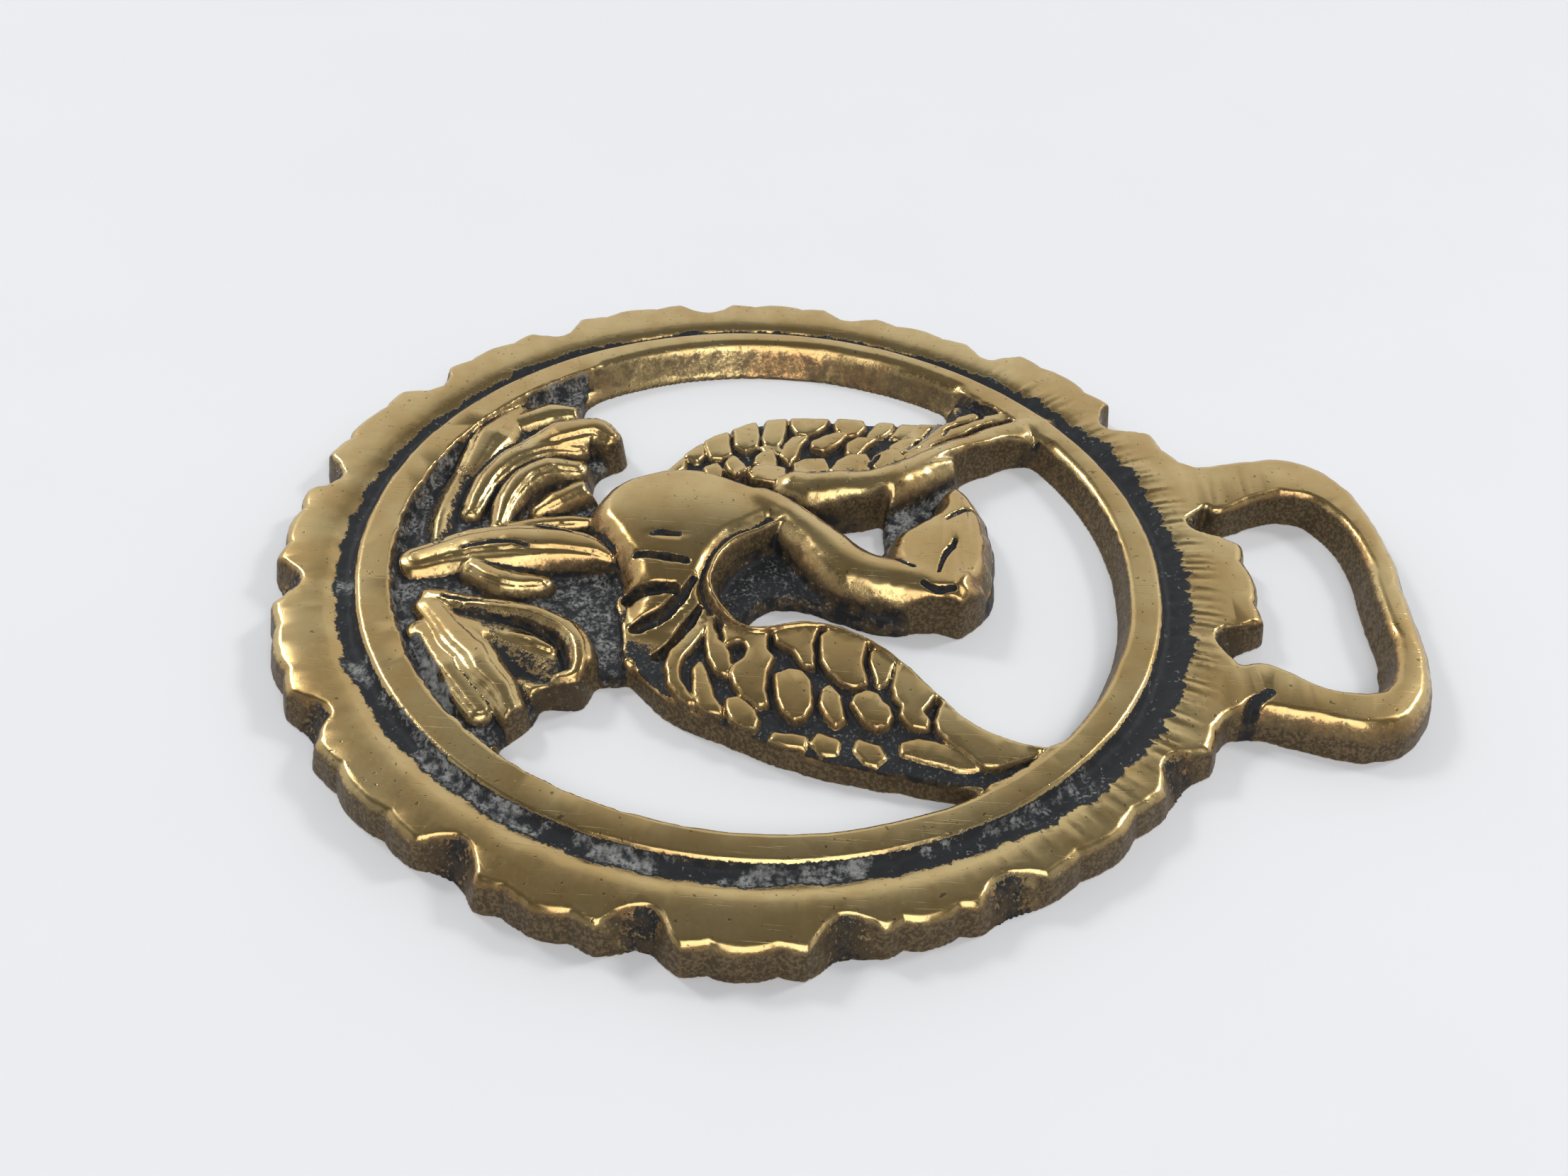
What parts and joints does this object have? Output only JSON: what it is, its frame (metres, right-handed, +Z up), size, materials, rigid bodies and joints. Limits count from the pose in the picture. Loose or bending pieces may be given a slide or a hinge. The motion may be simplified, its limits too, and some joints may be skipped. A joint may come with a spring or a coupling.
{
  "type": "horse brass",
  "caption": "Flat cast brass ornament: a scalloped ring with a strap hanger, holding an openwork phoenix in flames.",
  "frame": {"origin": "centre of the bounding box in plan, on the flat back face that the brass lies on", "axes": "+Z up out of the carved face, +Y from the ring towards the strap hanger, +X to the right of the carved face"},
  "size_m": [0.0816, 0.0962, 0.0048],
  "materials": {
    "brass": "polished on the high faces, dark patina in the hollows"
  },
  "bodies": {
    "root": {"horse_brass": "brass"}
  },
  "joints": []
}
